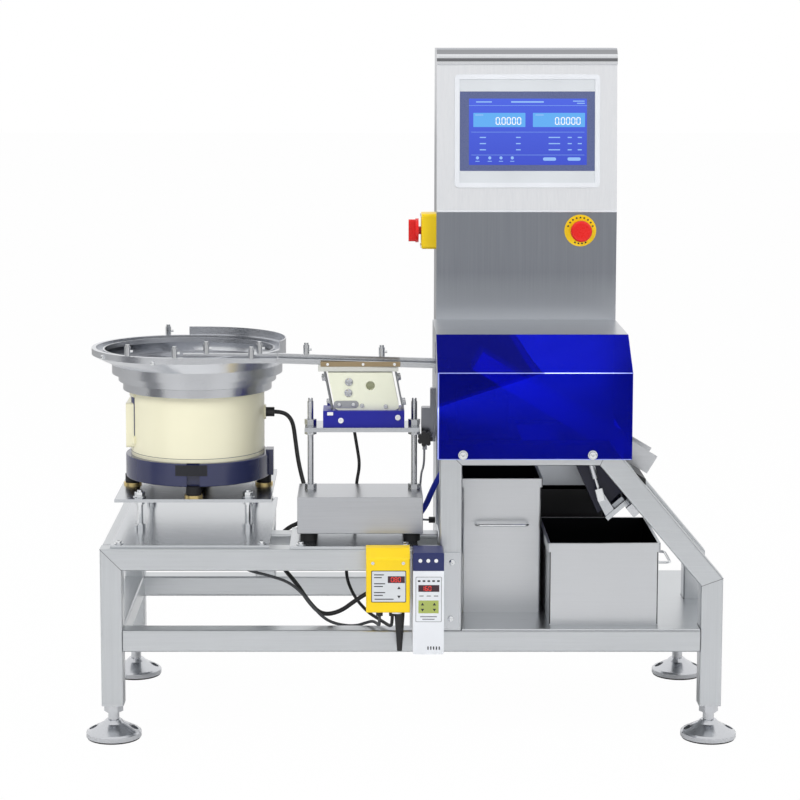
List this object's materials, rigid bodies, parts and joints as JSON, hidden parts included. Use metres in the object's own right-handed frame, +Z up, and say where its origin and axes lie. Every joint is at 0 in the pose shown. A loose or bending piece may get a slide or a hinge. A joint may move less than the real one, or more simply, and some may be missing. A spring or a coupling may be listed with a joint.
{
  "type": "checkweigher with vibratory bowl feeder",
  "caption": "Bench-height checkweigher for small parts: stainless frame, vibratory bowl and straight track, blue-covered weighing station, reject gate, bins and touch screen column.",
  "frame": {"origin": "on the floor, in the middle of the machine's footprint", "axes": "+X to the operator's right, +Y away from the operator, +Z up"},
  "size_m": [1.19, 0.55, 1.243],
  "materials": {
    "frame_steel": "satin brushed stainless tube",
    "sheet_steel": "brushed stainless sheet",
    "turned_steel": "bright turned steel",
    "cream_paint": "satin cream enamel",
    "navy_paint": "satin navy enamel",
    "blue_paint": "gloss blue enamel",
    "blue_sheet": "clear blue acrylic sheet",
    "brass": "turned brass",
    "black_rubber": "moulded rubber",
    "black_plastic": "moulded plastic",
    "yellow_plastic": "moulded plastic",
    "red_plastic": "moulded plastic",
    "white_plastic": "moulded plastic",
    "grey_plastic": "moulded plastic",
    "screen": "screen glass",
    "blue_hose": "polyurethane hose",
    "grey_tube": "polyurethane tube"
  },
  "bodies": {
    "machine": {"legs": "frame_steel", "long_rails": "frame_steel", "cross_rails": "frame_steel", "posts": "frame_steel", "sloping_members": "frame_steel", "foot_soles": "black_rubber", "foot_pads": "turned_steel", "foot_stems": "turned_steel", "shelf": "sheet_steel", "front_bin": "sheet_steel", "tall_bin": "sheet_steel", "rear_bin": "black_plastic", "bin_handles": "turned_steel", "housing": "sheet_steel", "cover": "blue_sheet", "load_cell": "grey_plastic", "discharge_chute": "sheet_steel", "chute_bracket": "black_plastic", "column": "sheet_steel", "screen_bezel": "grey_plastic", "screen_glass": "screen", "stop_ring": "yellow_plastic", "switch_box": "yellow_plastic", "mounting_plates": "sheet_steel", "pillars": "turned_steel", "foot_discs": "brass", "buffers": "black_rubber", "drive_base": "navy_paint", "drive_drum": "cream_paint", "flange_ring": "turned_steel", "bowl": "sheet_steel", "spiral_track": "sheet_steel", "rim_track": "sheet_steel", "back_band": "sheet_steel", "collars": "turned_steel", "counterweight": "sheet_steel", "threaded_rods": "turned_steel", "feeder_base": "blue_paint", "drive_block": "cream_paint", "leaf_springs": "grey_plastic", "top_mount": "cream_paint", "straight_track": "sheet_steel", "reject_pins": "turned_steel", "reject_funnel": "blue_sheet", "stepped_controller": "yellow_plastic", "tall_controller": "white_plastic", "regulator": "black_plastic", "cable_glands": "black_plastic", "drum_cable": "black_rubber", "feeder_cable": "black_rubber", "sensor_cable": "black_rubber", "blue_hose": "blue_hose", "air_tube": "grey_tube"},
    "main_switch": {"switch_knob": "red_plastic"},
    "stop": {"stop_button": "red_plastic"},
    "gate": {"reject_gate": "sheet_steel"},
    "cylinder": {"reject_cylinder": "turned_steel"},
    "rod": {"reject_rod": "turned_steel"},
    "knob": {"star_knob": "black_plastic"}
  },
  "joints": [
    {"name": "main_switch_turn", "type": "hinge", "parent": "machine", "child": "main_switch", "pos_m": [0.052, 0.137, 0.896], "axis": [-1, 0, 0], "range_deg": [0, 90]},
    {"name": "stop_press", "type": "slide", "parent": "machine", "child": "stop", "axis": [0, 1, 0], "range_m": [0, 0.006], "stiffness_N_per_m": 900},
    {"name": "gate_swing", "type": "hinge", "parent": "machine", "child": "gate", "pos_m": [0.397, -0.145, 0.419], "axis": [0, -1, 0], "range_deg": [0, 25]},
    {"name": "cylinder_swing", "type": "hinge", "parent": "machine", "child": "cylinder", "pos_m": [0.31933, -0.137, 0.52451], "axis": [0, -1, 0], "range_deg": [-4.5, 0]},
    {"name": "rod_slide", "type": "slide", "parent": "cylinder", "child": "rod", "axis": [0.2706, 0, -0.9627], "range_m": [0, 0.0225]},
    {"name": "star_knob_turn", "type": "hinge", "parent": "machine", "child": "knob", "pos_m": [0.025, -0.135, 0.541], "axis": [0, -1, 0], "range_deg": [-180, 180]}
  ],
  "couplings": [
    {"joint": "cylinder_swing", "follows": "gate_swing", "ratio": -0.17186},
    {"joint": "rod_slide", "follows": "gate_swing", "m_per_rad": 0.051222}
  ]
}
